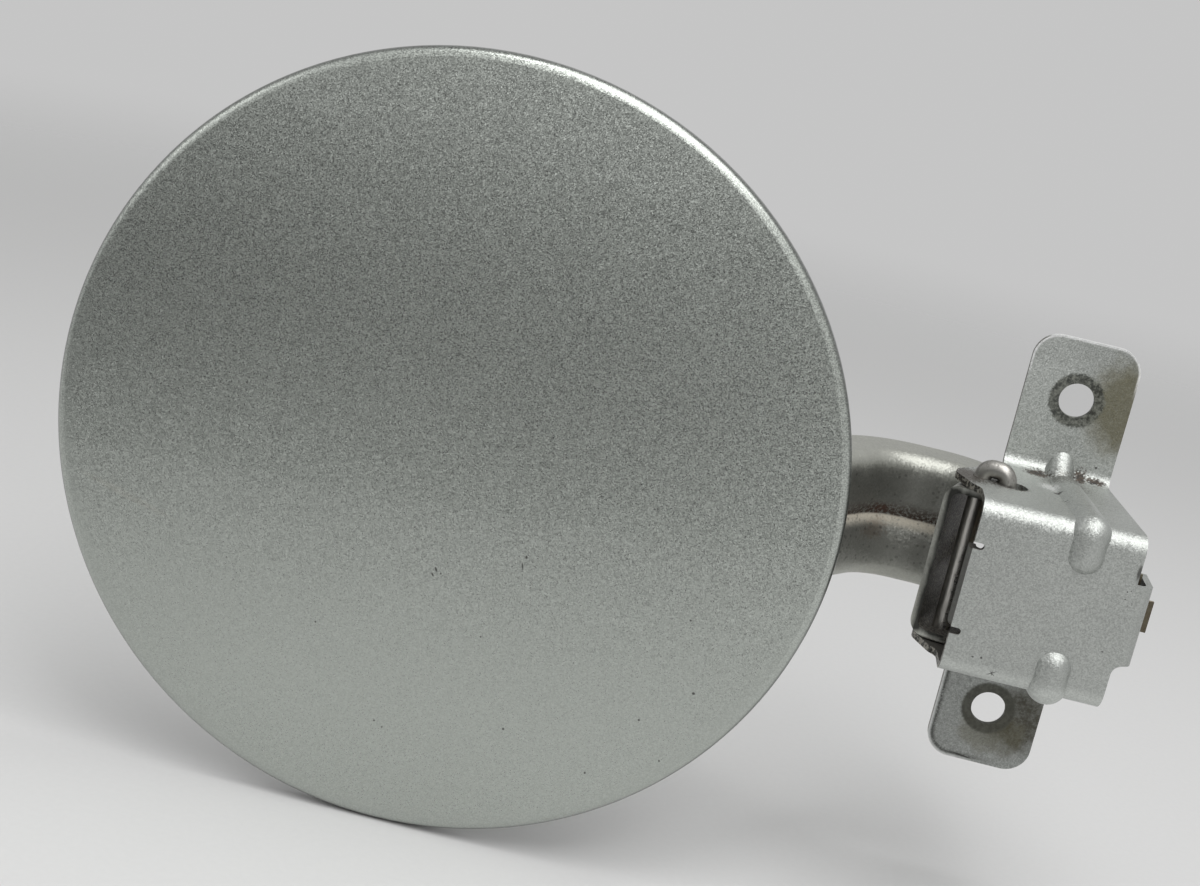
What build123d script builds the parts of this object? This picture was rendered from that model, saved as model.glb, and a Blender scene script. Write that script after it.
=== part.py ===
from build123d import *
from math import radians, tan
import os

# Car fuel door: a round hemmed lid on a gooseneck arm, and the bracket that is bolted to the car body.
# Sizes are in millimetres. X runs from the lid to the hinge, Y runs into the car, Z runs up the hinge pin.
# All pieces are drawn about the middle of the bracket's wall and then moved together, so that the origin lies
# midway between the two bolt holes, on the back face of the tabs.

# Bracket: one hat-section stamping
BRACKET_SHEET = 1.4
BRACKET_BEND = 2.6
FRONT_BEND = 3.6
BRACKET_DEPTH = 39.6
WALL_HEIGHT = 37.0
WALL_LEFT = -17.5
WALL_RIGHT = 15.5
TAB_WIDTH = 23.0
TAB_SPAN = 98.0
TAB_X = 0.6
TAB_Z = -0.7
TAB_CORNER = 5.5
BOLT_HOLE_DIAMETER = 7.5
BOLT_SPACING = 71.8

# Bracket: beads over the bends and gussets in the tab folds
BEAD_X = 4.4
BEAD_BACK_X = 1.8
BEAD_WIDTH = 6.9
BEAD_HEIGHT = 1.8
BEAD_LENGTH = 10.0
BEAD_BACK_STOP = 9.0
GUSSET_X = 1.2
GUSSET_LEG = 5.2
GUSSET_RIDGE = 2.8
GUSSET_HALF_WIDTH = 3.9

# Bracket: relief notches and the turned-in edge between them
NOTCH_SPACING = 18.2
NOTCH_WIDTH = 1.4
NOTCH_DEPTH = 2.2
LIP_PROUD = 0.5
LIP_DEPTH = 4.0
LIP_ROOT = 6.0

# Bracket: spring anchor wall
ANCHOR_X = 19.1
ANCHOR_DEPTH = 11.0
ANCHOR_TOP = 8.7
ANCHOR_BOTTOM = -8.1
ANCHOR_ROOT = 6.0
ANCHOR_CORNERS = (2.2, 0.6)

# Hinge pin
PIN_DIAMETER = 3.8
PIN_X = -16.7
PIN_SETBACK = 20.0
PIN_RUNNING_GAP = 0.05
PIN_FOOT = 2.0
PIN_CHAMFER = 0.5
HOOK_SPAN = 5.2
HOOK_TURN = 15.0
HOOK_BEND = 2.1
HOOK_LIFT = 0.1
HOOK_END_DEPTH = 1.2
HOOK_SLOT_LENGTH = 6.7
HOOK_SLOT_WIDTH = 5.8
HOOK_SLOT_GAP = 0.3
EAR_RADIUS = 5.5
EAR_FRONT_RADIUS = 3.2
EAR_FRONT_OFFSET = (0.3, -6.5)
EAR_BLEND = 3.0

# Gooseneck arm: a channel whose flanges stand on the outside of its curve, and whose hinge end leans back
ARM_SHEET = 1.6
ARM_HALF_HEIGHT = 14.6
ARM_SIDE_GAP = 0.4
ARM_CORNER = 3.5
ARM_LEAN = 18.0
ARM_WEB_TO_PIN = 5.5
ARM_EAR_RADIUS = 6.0
ARM_EAR_LENGTH = 11.5
ARM_TAPER_LENGTH = 7.0
ARM_NECK_STRAIGHT = 1.9
ARM_NECK_BEND = 5.0
ARM_DEEP_STRAIGHT = 5.1
ARM_DEEP_BEND = 11.0
ARM_SLOPE = 54.5
ARM_FOOT_BEND = 18.0
ARM_FOOT_END = -101.0
ARM_FOOT_CUT_LENGTH = 20.0
ARM_FOOT_END_HEIGHT = 3.5
GROOVE_DEPTH = 2.2
GROOVE_HALF_WIDTH = 9.0
GROOVE_FADE = 0.05

# Lid
LID_X = -123.2
LID_Z = 3.3
LID_DIAMETER = 160.0
LID_RIM_Y = -47.6
LID_CROWN = 2.0
LID_EDGE_RADIUS = 2.0
LID_RIM_DEPTH = 4.4
HEM_WIDTH = 9.0
HEM_BEND = 1.2
OUTER_SHEET = 0.8
INNER_SHEET = 0.7
INNER_HEM_GAP = 0.05
INNER_RIM_GAP = 0.6
INNER_SEAT_Y = -40.6
INNER_SEAT_RADIUS = 58.0
INNER_STEP_RADIUS = 64.0
INNER_DISH_RADIUS = 17.0
INNER_DISH_STEP = 3.0
INNER_DISH_DEPTH = 2.5
INNER_BEND = 2.0

# Latch striker on the back of the lid
STRIKER_SHEET = 1.5
STRIKER_X = -169.0
STRIKER_FOOT = 14.0
STRIKER_HEIGHT = 18.0
STRIKER_WIDTH = 20.0
STRIKER_BEND = 3.0
STRIKER_CORNER = 4.0
STRIKER_WINDOW = (8.0, 7.0)
STRIKER_WINDOW_OFFSET = 11.0
STRIKER_WINDOW_CORNER = 1.0

# Leaf spring inside the bracket
SPRING_SHEET = 0.8
SPRING_Y_SETBACK = 5.0
SPRING_CAM_GAP = 0.35
SPRING_PADDLE_HALF = 15.4
SPRING_LEAF_HALF = 10.0
SPRING_BENDS = (12.0, 7.0, 3.0)
SPRING_KNEE_X = 5.0
SPRING_RISE = (5.0, 10.0)
SPRING_PAD_SETBACKS = (14.0, 25.0)
SPRING_PADDLE_X = 0.0
SPRING_SHOULDER_GAP = 0.6
TONGUE_Z = 1.7
TONGUE_HEIGHT = 6.6
TONGUE_OUT = 1.7
TONGUE_GAP = 0.15

# Sizes that follow from those above
FRONT_Y = -BRACKET_DEPTH
PIN_Y = FRONT_Y + PIN_SETBACK
WALL_HALF = WALL_HEIGHT / 2
BAY_HALF = WALL_HALF - BRACKET_SHEET
TAB_LEFT = TAB_X - TAB_WIDTH / 2
TAB_RIGHT = TAB_X + TAB_WIDTH / 2
TAB_FRONT_Y = -BRACKET_SHEET
PIN_HOLE_RADIUS = PIN_DIAMETER / 2 + PIN_RUNNING_GAP
ARM_FLANGE = ARM_WEB_TO_PIN + ARM_EAR_RADIUS
ARM_EAR_HALF = BAY_HALF - ARM_SIDE_GAP
ARM_BACK_X = PIN_X + ARM_EAR_RADIUS
LID_RADIUS = LID_DIAMETER / 2
LID_BACK_Y = LID_RIM_Y + LID_RIM_DEPTH
SPRING_Y = FRONT_Y + SPRING_Y_SETBACK
FAR = 300.0

# A bead is a slice of a round bar sunk behind the sheet, so its radius follows from its width and height.
BEAD_RADIUS = (BEAD_WIDTH ** 2 / 4 + BEAD_HEIGHT ** 2) / (2 * BEAD_HEIGHT)
BEAD_SINK = BEAD_RADIUS - BEAD_HEIGHT
GUSSET_HEIGHT = GUSSET_LEG / 2 ** 0.5


def bent_sheet(points, radii, thickness, side):
    """Edge outline of a sheet bent along a chain of points."""
    chain = FilletPolyline(*points, radius=radii)
    return Face(chain.offset_2d(thickness, side=side, closed=True))


def span_box(x_span, y_span, z_span):
    """Box between two limits on each axis."""
    sizes = [high - low for low, high in (x_span, y_span, z_span)]
    middle = [(high + low) / 2 for low, high in (x_span, y_span, z_span)]
    return Pos(*middle) * Box(*sizes)


def upright_hole(x, y, radius, z_span):
    """Round cutter along Z between two heights."""
    low, high = z_span
    return Pos(x, y, (low + high) / 2) * Cylinder(radius, high - low)


def round_chain(points, radius):
    """Round bar with ball corners along a chain of points."""
    balls = [Pos(*point) * Sphere(radius) for point in points]
    bars = []
    for start, end in zip(points, points[1:]):
        run = Vector(end) - Vector(start)
        bars.append(extrude(Plane(start, z_dir=run) * Circle(radius), run.length))
    return Part() + balls + bars


def bead(inset):
    """Bead over the front bend and along the upper flange, set in from its surface."""
    wall_y = FRONT_Y + BEAD_SINK
    flange_z = WALL_HALF - BEAD_SINK
    end_z = WALL_HALF - BEAD_LENGTH + BEAD_WIDTH / 2
    return round_chain(
        [(BEAD_X, wall_y, end_z), (BEAD_X, wall_y, flange_z), (BEAD_BACK_X, -BEAD_BACK_STOP, flange_z)],
        BEAD_RADIUS - inset,
    )


def gusset(inset):
    """Dart across the tab fold, with a round ridge and spread feet, set in from its surface."""
    middle = (GUSSET_X, TAB_FRONT_Y - GUSSET_LEG / 2, WALL_HALF + GUSSET_LEG / 2)
    half_width = GUSSET_HALF_WIDTH - inset
    ridge = Pos(0, GUSSET_RIDGE) * Circle(GUSSET_RIDGE - inset)
    feet = Edge.make_line((-half_width, GUSSET_HEIGHT), (half_width, GUSSET_HEIGHT))
    section = make_hull([*ridge.edges(), feet])
    return extrude(Plane(middle, x_dir=(1, 0, 0), z_dir=(0, 1, 1)) * section, 2 * GUSSET_LEG, both=True)


def make_bracket():
    section = bent_sheet(
        [
            (TAB_FRONT_Y, TAB_Z + TAB_SPAN / 2),
            (TAB_FRONT_Y, WALL_HALF),
            (FRONT_Y, WALL_HALF),
            (FRONT_Y, -WALL_HALF),
            (TAB_FRONT_Y, -WALL_HALF),
            (TAB_FRONT_Y, TAB_Z - TAB_SPAN / 2),
        ],
        [BRACKET_BEND, FRONT_BEND, FRONT_BEND, BRACKET_BEND],
        BRACKET_SHEET,
        Side.LEFT,
    )
    hat = extrude(Plane.YZ * section, FAR / 2, both=True)

    # The plan outline: wide at the front wall, narrow at the tabs, with the pivot ear on the left
    fold_y = TAB_FRONT_Y - BRACKET_BEND
    ear = Pos(PIN_X, PIN_Y) * Circle(EAR_RADIUS)
    ear_front = Pos(PIN_X, PIN_Y) * Pos(*EAR_FRONT_OFFSET) * Circle(EAR_FRONT_RADIUS)
    ear_root = Edge.make_line((TAB_LEFT, fold_y), (TAB_RIGHT, fold_y))
    ear_web = make_hull([*ear.edges(), *ear_front.edges(), ear_root])
    body = make_face(Polyline(
        (WALL_LEFT, FRONT_Y),
        (WALL_RIGHT, FRONT_Y),
        (TAB_RIGHT, fold_y),
        (TAB_RIGHT, 0),
        (TAB_LEFT, 0),
        (TAB_LEFT, fold_y),
        (WALL_LEFT, PIN_Y),
        close=True,
    ))
    plan = body + ear_web
    notch_y = PIN_Y + EAR_FRONT_OFFSET[1] - EAR_FRONT_RADIUS
    plan = fillet(plan.vertices().sort_by_distance((WALL_LEFT, notch_y))[0], EAR_BLEND)
    bracket = hat & extrude(plan, FAR / 2, both=True)

    for end in (0, -1):
        bracket = fillet(bracket.edges().filter_by(Axis.Y).group_by(Axis.Z)[end], TAB_CORNER)

    # The anchor wall for the spring, turned back from the right-hand edge
    anchor = bent_sheet(
        [(WALL_RIGHT - ANCHOR_ROOT, FRONT_Y), (ANCHOR_X, FRONT_Y), (ANCHOR_X, FRONT_Y + ANCHOR_DEPTH)],
        BRACKET_BEND,
        BRACKET_SHEET,
        Side.LEFT,
    )
    bracket += Pos(0, 0, ANCHOR_BOTTOM) * extrude(anchor, ANCHOR_TOP - ANCHOR_BOTTOM)
    for root_z, radius in zip((ANCHOR_BOTTOM, ANCHOR_TOP), ANCHOR_CORNERS):
        root = bracket.edges().sort_by_distance((WALL_RIGHT, FRONT_Y + BRACKET_SHEET / 2, root_z))[0]
        bracket = fillet(root, radius)

    # The turned-in edge between the two relief notches
    lip = bent_sheet(
        [
            (WALL_LEFT + LIP_ROOT, FRONT_Y),
            (WALL_LEFT - LIP_PROUD, FRONT_Y),
            (WALL_LEFT - LIP_PROUD, FRONT_Y + LIP_DEPTH),
        ],
        BRACKET_BEND,
        BRACKET_SHEET,
        Side.RIGHT,
    )
    bracket += extrude(lip, (NOTCH_SPACING - NOTCH_WIDTH) / 2, both=True)

    # Beads and gussets keep the thickness of the sheet, and mirror top to bottom
    bay = span_box((-FAR, FAR), (FRONT_Y + BRACKET_SHEET, FAR), (-BAY_HALF, BAY_HALF))
    behind = span_box((-FAR, FAR), (0, FAR), (-FAR, FAR))
    for form in (bead, gusset):
        raised = form(0) - bay - behind
        bracket += [raised, mirror(raised, Plane.XY)]
    for form in (bead, gusset):
        hollow = form(BRACKET_SHEET)
        bracket -= [hollow, mirror(hollow, Plane.XY)]

    # Notches, bolt holes, pin holes, the hook slot and the tongue slot
    for sign in (-1, 1):
        notch_z = sign * NOTCH_SPACING / 2
        reach = NOTCH_DEPTH - NOTCH_WIDTH / 2
        notch = SlotCenterToCenter(2 * reach, NOTCH_WIDTH)
        notch = Plane.XZ.offset(-FRONT_Y) * Pos(WALL_LEFT, notch_z) * notch
        bracket -= extrude(notch, BRACKET_SHEET * 2, both=True)
        hole = Plane.XZ * Pos(TAB_X, TAB_Z + sign * BOLT_SPACING / 2) * Circle(BOLT_HOLE_DIAMETER / 2)
        bracket -= extrude(hole, BRACKET_SHEET * 2, both=True)
    bracket -= upright_hole(PIN_X, PIN_Y, PIN_HOLE_RADIUS, (-FAR, FAR))
    slot_start = HOOK_SPAN - PIN_DIAMETER / 2 - HOOK_SLOT_GAP
    slot = Pos(slot_start + HOOK_SLOT_LENGTH / 2, 0) * SlotOverall(HOOK_SLOT_LENGTH, HOOK_SLOT_WIDTH)
    bracket -= extrude(Pos(PIN_X, PIN_Y) * Rot(0, 0, -HOOK_TURN) * slot, FAR)
    bracket -= span_box(
        (ANCHOR_X - 2 * BRACKET_SHEET, FAR),
        (SPRING_Y - TONGUE_GAP, SPRING_Y + SPRING_SHEET + TONGUE_GAP),
        (TONGUE_Z - TONGUE_HEIGHT / 2 - TONGUE_GAP, TONGUE_Z + TONGUE_HEIGHT / 2 + TONGUE_GAP),
    )
    return bracket


def make_pin():
    top = WALL_HALF + HOOK_LIFT + HOOK_BEND
    foot = -WALL_HALF - PIN_FOOT
    path = Plane.XZ * FilletPolyline(
        (0, foot),
        (0, top),
        (HOOK_SPAN, top),
        (HOOK_SPAN, WALL_HALF - HOOK_END_DEPTH),
        radius=HOOK_BEND,
    )
    pin = sweep(Pos(0, 0, foot) * Circle(PIN_DIAMETER / 2), path=path)
    pin = chamfer(pin.edges().group_by(Axis.Z)[0], PIN_CHAMFER)
    return Pos(PIN_X, PIN_Y) * Rot(0, 0, -HOOK_TURN) * pin


def bend_reach(radius, turn):
    """Length that a bend takes up on each side of its corner."""
    return radius * tan(radians(turn) / 2)


def arm_half_section(half_height, groove):
    """Upper half of the channel: X away from the web face, Y up the web."""
    groove_back = groove + ARM_SHEET
    inner_height = half_height - ARM_SHEET
    face = make_face([
        TangentArc((0, GROOVE_HALF_WIDTH), (groove, 0), tangent=(0, -1)),
        Line((groove, 0), (groove_back, 0)),
        TangentArc((ARM_SHEET, GROOVE_HALF_WIDTH), (groove_back, 0), tangent=(0, -1)),
        Polyline(
            (ARM_SHEET, GROOVE_HALF_WIDTH),
            (ARM_SHEET, inner_height),
            (ARM_FLANGE, inner_height),
            (ARM_FLANGE, half_height),
            (0, half_height),
            (0, GROOVE_HALF_WIDTH),
        ),
    ])
    face = fillet(face.vertices().sort_by_distance((0, half_height))[0], ARM_CORNER)
    return fillet(face.vertices().sort_by_distance((ARM_SHEET, inner_height))[0], ARM_CORNER - ARM_SHEET)


def make_arm():
    across = Vector(1, 0, 0).rotate(Axis.Z, -ARM_LEAN)
    along = Vector(0, 1, 0).rotate(Axis.Z, -ARM_LEAN)
    lip = Vector(PIN_X, PIN_Y, 0) - across * ARM_WEB_TO_PIN - along * ARM_EAR_RADIUS

    def at(run):
        return Plane(lip + along * run, x_dir=across, z_dir=-along)

    neck_run = ARM_EAR_LENGTH + ARM_TAPER_LENGTH
    ear_face = arm_half_section(ARM_EAR_HALF, GROOVE_FADE)
    neck_face = arm_half_section(ARM_HALF_HEIGHT, GROOVE_DEPTH)
    ears = extrude(at(ARM_EAR_LENGTH) * ear_face, ARM_EAR_LENGTH)
    taper = loft([at(ARM_EAR_LENGTH) * ear_face, at(neck_run) * neck_face], ruled=True)

    # The web's line from the neck round to the foot, each corner set by its bend and the straight before it
    neck_reach = bend_reach(ARM_NECK_BEND, 90 + ARM_LEAN)
    deep_reach = bend_reach(ARM_DEEP_BEND, ARM_SLOPE)
    deep = lip + along * (neck_run + ARM_NECK_STRAIGHT + neck_reach)
    slope_x = deep.X - neck_reach - ARM_DEEP_STRAIGHT - deep_reach
    foot_x = slope_x - (deep.Y - INNER_SEAT_Y) / tan(radians(ARM_SLOPE))
    path = FilletPolyline(
        lip + along * neck_run,
        deep,
        (slope_x, deep.Y),
        (foot_x, INNER_SEAT_Y),
        (ARM_FOOT_END, INNER_SEAT_Y),
        radius=[ARM_NECK_BEND, ARM_DEEP_BEND, ARM_FOOT_BEND],
    )
    neck = sweep(at(neck_run) * neck_face, path=path)
    half = ears + taper + neck

    # The two corners of the ears follow the pin, the flanges end level with them, and the foot runs out low
    corner = lip + across * ARM_FLANGE + Vector(0, 0, ARM_EAR_HALF - ARM_SHEET / 2)
    half = fillet(half.edges().filter_by(Axis.Z).sort_by_distance(corner)[0], ARM_EAR_RADIUS)
    half -= span_box((ARM_BACK_X, FAR), (-FAR, FAR), (-FAR, FAR))
    half -= upright_hole(PIN_X, PIN_Y, PIN_HOLE_RADIUS, (ARM_EAR_HALF - 2 * ARM_SHEET, FAR))
    cut = make_face(Polyline(
        (ARM_FOOT_END, INNER_SEAT_Y + ARM_FOOT_END_HEIGHT),
        (ARM_FOOT_END + ARM_FOOT_CUT_LENGTH, INNER_SEAT_Y + ARM_FLANGE),
        (ARM_FOOT_END, INNER_SEAT_Y + ARM_FLANGE),
        close=True,
    ))
    half -= extrude(cut, FAR)
    return half + mirror(half, Plane.XY)


def crowned_disc(inset):
    """The lid's outer form as a full disc, set in from its surface."""
    crown_radius = (LID_RADIUS ** 2 + LID_CROWN ** 2) / (2 * LID_CROWN)
    crown_y = LID_RIM_Y - LID_CROWN + crown_radius
    back = Plane.XZ.offset(inset - LID_BACK_Y) * Circle(LID_RADIUS - inset)
    disc = extrude(back, LID_RIM_DEPTH + LID_CROWN) & Pos(0, crown_y) * Sphere(crown_radius - inset)
    rims = disc.edges().filter_by(GeomType.CIRCLE).sort_by(Axis.Y)
    disc = fillet(rims[0], LID_EDGE_RADIUS - inset)
    rims = disc.edges().filter_by(GeomType.CIRCLE).sort_by(Axis.Y)
    return fillet(rims[-1], HEM_BEND - inset)


def make_outer_panel():
    opening = Plane.XZ.offset(-LID_BACK_Y) * Circle(LID_RADIUS - HEM_WIDTH)
    panel = crowned_disc(0) - crowned_disc(OUTER_SHEET) - extrude(opening, 2 * OUTER_SHEET, both=True)
    return Pos(LID_X, 0, LID_Z) * panel


def make_inner_panel():
    seat_front = INNER_SEAT_Y - INNER_SHEET
    flange_front = LID_BACK_Y - OUTER_SHEET - INNER_HEM_GAP - INNER_SHEET
    dish_front = seat_front - INNER_DISH_DEPTH
    section = bent_sheet(
        [
            (0, dish_front),
            (INNER_DISH_RADIUS, dish_front),
            (INNER_DISH_RADIUS + INNER_DISH_STEP, seat_front),
            (INNER_SEAT_RADIUS, seat_front),
            (INNER_STEP_RADIUS, flange_front),
            (LID_RADIUS - OUTER_SHEET - INNER_RIM_GAP, flange_front),
        ],
        INNER_BEND,
        INNER_SHEET,
        Side.LEFT,
    )
    return Pos(LID_X, 0, LID_Z) * revolve(section, Axis.Y)


def make_striker():
    section = bent_sheet(
        [
            (STRIKER_X, INNER_SEAT_Y),
            (STRIKER_X + STRIKER_FOOT, INNER_SEAT_Y),
            (STRIKER_X + STRIKER_FOOT, INNER_SEAT_Y + STRIKER_HEIGHT),
        ],
        STRIKER_BEND,
        STRIKER_SHEET,
        Side.LEFT,
    )
    striker = Pos(0, 0, LID_Z) * extrude(section, STRIKER_WIDTH / 2, both=True)
    tip = striker.edges().filter_by(Axis.X).group_by(Axis.Y)[-1]
    striker = fillet(tip, STRIKER_CORNER)
    window = Pos(INNER_SEAT_Y + STRIKER_WINDOW_OFFSET, LID_Z) * RectangleRounded(
        *STRIKER_WINDOW, STRIKER_WINDOW_CORNER
    )
    return striker - extrude(Plane.YZ.offset(STRIKER_X + STRIKER_FOOT) * window, 2 * STRIKER_SHEET, both=True)


def make_spring():
    pad_x = ARM_BACK_X + SPRING_CAM_GAP
    rise_x, rise_setback = SPRING_RISE
    pad_start, pad_end = SPRING_PAD_SETBACKS
    section = bent_sheet(
        [
            (ANCHOR_X + TONGUE_OUT, SPRING_Y),
            (SPRING_KNEE_X, SPRING_Y),
            (pad_x + rise_x, FRONT_Y + rise_setback),
            (pad_x, FRONT_Y + pad_start),
            (pad_x, FRONT_Y + pad_end),
        ],
        SPRING_BENDS,
        SPRING_SHEET,
        Side.RIGHT,
    )
    spring = extrude(section, SPRING_PADDLE_HALF, both=True)
    leaf_x = (SPRING_PADDLE_X, FAR)
    tongue_x = (ANCHOR_X - BRACKET_SHEET - SPRING_SHOULDER_GAP, FAR)
    full_y = (-FAR, FAR)
    spring -= span_box(leaf_x, full_y, (SPRING_LEAF_HALF, FAR))
    spring -= span_box(leaf_x, full_y, (-FAR, -SPRING_LEAF_HALF))
    spring -= span_box(tongue_x, full_y, (TONGUE_Z + TONGUE_HEIGHT / 2, FAR))
    spring -= span_box(tongue_x, full_y, (-FAR, TONGUE_Z - TONGUE_HEIGHT / 2))
    return spring


os.makedirs("parts", exist_ok=True)
NODES = {
    "hinge_bracket": make_bracket,
    "hinge_pin": make_pin,
    "leaf_spring": make_spring,
    "outer_panel": make_outer_panel,
    "inner_panel": make_inner_panel,
    "hinge_arm": make_arm,
    "latch_striker": make_striker,
}
for name, maker in NODES.items():
    piece = Pos(-TAB_X, 0, -TAB_Z) * maker()
    export_step(piece, f"parts/{name}.step")
    box = piece.bounding_box()
    print(name, "volume", round(piece.volume), "solids", len(piece.solids()), "size", box.size)
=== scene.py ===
# %% [markdown]
# # A car fuel door
# The frame below is the measured model: a round lid, the arm that carries it, and the bracket, pin and
# spring that it swings on. Its shapes are finished, so Blender leaves every mesh alone here. What it adds is
# paint, dirt, wear and light, and all of it is worked out from nodes, with no picture file.

# %% Load the frame
from math import cos, radians, sin
import bpy
from mathutils import Matrix, Vector


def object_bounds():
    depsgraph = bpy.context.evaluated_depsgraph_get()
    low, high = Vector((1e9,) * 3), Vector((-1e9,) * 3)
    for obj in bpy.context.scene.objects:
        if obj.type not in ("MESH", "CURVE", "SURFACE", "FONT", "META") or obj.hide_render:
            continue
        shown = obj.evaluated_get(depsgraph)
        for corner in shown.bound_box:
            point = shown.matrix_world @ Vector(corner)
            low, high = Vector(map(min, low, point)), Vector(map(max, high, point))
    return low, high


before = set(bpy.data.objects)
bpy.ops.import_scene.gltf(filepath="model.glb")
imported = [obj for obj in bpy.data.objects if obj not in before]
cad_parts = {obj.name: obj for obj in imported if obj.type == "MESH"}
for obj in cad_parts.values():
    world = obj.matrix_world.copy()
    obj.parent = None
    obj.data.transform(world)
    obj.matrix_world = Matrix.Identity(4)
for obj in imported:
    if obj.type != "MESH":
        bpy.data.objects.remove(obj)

MM = 0.001
CAD_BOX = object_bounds()
print("pieces", sorted(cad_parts), "size in mm", [round(x / MM, 1) for x in CAD_BOX[1] - CAD_BOX[0]])

# %% [markdown]
# ## Camera
# The picture to match was taken from close by and a little above, and the part leans over in it, so the
# camera is rolled. Its axes were solved from the lid's ellipse and the bracket's edges. Writing them as
# vectors is clearer than three Euler angles, because each one can be checked against an edge of the part.

# %% Camera
CAMERA_PLACE = Vector((-72.1, -426.6, 112.0)) * MM
CAMERA_RIGHT = Vector((0.9704, 0.1124, 0.2137)).normalized()
CAMERA_UP = Vector((-0.2347, 0.2299, 0.9445))
CAMERA_LENS = 60.0
CAMERA_NEAR = 0.01

camera_back = CAMERA_RIGHT.cross(CAMERA_UP).normalized()
camera_up = camera_back.cross(CAMERA_RIGHT)
bpy.ops.object.camera_add()
camera = bpy.context.object
camera.name = "photo_camera"
camera.data.lens = CAMERA_LENS
camera.data.clip_start = CAMERA_NEAR
camera.matrix_world = Matrix.Translation(CAMERA_PLACE) @ Matrix(
    (CAMERA_RIGHT, camera_up, camera_back)
).transposed().to_4x4()
bpy.context.scene.camera = camera
bpy.context.scene.view_settings.view_transform = "Standard"
print("camera looks along", [round(x, 3) for x in -camera_back])

# %% [markdown]
# ## Shader sums
# A finish is written as arithmetic on the place of each point. A small class wraps a socket, so that
# `1 - mask` or `grain * 0.3` adds its Math node by itself. Nodes could be wired by hand, but a sum can be
# read at a glance, and the same few sums serve every finish.

# %% Shader values
class Val:
    """A shader value that takes part in Python sums."""

    def __init__(self, nodes, socket):
        self.nodes = nodes
        self.socket = socket

    def sum(self, operation, first, second):
        return self.nodes.node("Math", {"operation": operation}, {0: first, 1: second})

    def __add__(self, other):
        return self.sum("ADD", self, other)

    def __sub__(self, other):
        return self.sum("SUBTRACT", self, other)

    def __rsub__(self, other):
        return self.sum("SUBTRACT", other, self)

    def __mul__(self, other):
        return self.sum("MULTIPLY", self, other)

    def __pow__(self, other):
        return self.sum("POWER", self, other)

    def __or__(self, other):
        """The larger of two masks."""
        return self.sum("MAXIMUM", self, other)

    def __abs__(self):
        return self.sum("ABSOLUTE", self, 0.0)

    __radd__ = __add__
    __rmul__ = __mul__


def union(masks):
    """The largest of a list of masks at each point."""
    largest, *others = masks
    for mask in others:
        largest = largest | mask
    return largest


print("a sum may begin with a number in", [name for name in vars(Val) if name.startswith("__r")])

# %% [markdown]
# ## Nodes
# Every node of a material or of the world is made by one method: its kind, its settings, which have to come
# first because they change the sockets, and its inputs. An input may be a number, a colour or another value.

# %% Nodes
class Nodes:
    """A node tree that is built by calls and sums."""

    def __init__(self, tree):
        self.tree = tree

    def put(self, socket, value):
        if isinstance(value, Val):
            self.tree.links.new(value.socket, socket)
        else:
            socket.default_value = value

    def node(self, kind, settings=None, inputs=None, out=0):
        made = self.tree.nodes.new("ShaderNode" + kind)
        for key, value in (settings or {}).items():
            setattr(made, key, value)
        for key, value in (inputs or {}).items():
            self.put(made.inputs[key], value)
        return Val(self, made.outputs[out])

    def split(self, vector):
        return [self.node("SeparateXYZ", inputs={0: vector}, out=axis) for axis in "XYZ"]

    def vector(self, operation, first, second):
        return self.node("VectorMath", {"operation": operation}, {0: first, 1: second})

    def ramp(self, value, low, high):
        """0 at low, 1 at high and smooth between; low may be the larger."""
        return self.node(
            "MapRange",
            {"interpolation_type": "SMOOTHSTEP"},
            {"Value": value, "From Min": low, "From Max": high},
        )

    def mix(self, mask, first, second):
        """First colour where the mask is 0, second where it is 1."""
        return self.node("Mix", {"data_type": "RGBA"}, {0: mask, 6: first, 7: second}, out=2)

    def tint(self, level, shade):
        """A level turned into a colour by three factors."""
        red, green, blue = shade
        return self.node("CombineColor", inputs={0: level * red, 1: level * green, 2: level * blue})


print("a node tree offers", [name for name in vars(Nodes) if not name.startswith("_")])

# %% [markdown]
# ## Finishes
# One object of this class is one material. It knows the place of a point in millimetres and which way the
# surface faces there, and its methods give the masks that paint and dirt are made of. They read the object's
# own coordinates, so a mark stays on its piece when the door swings.

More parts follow.
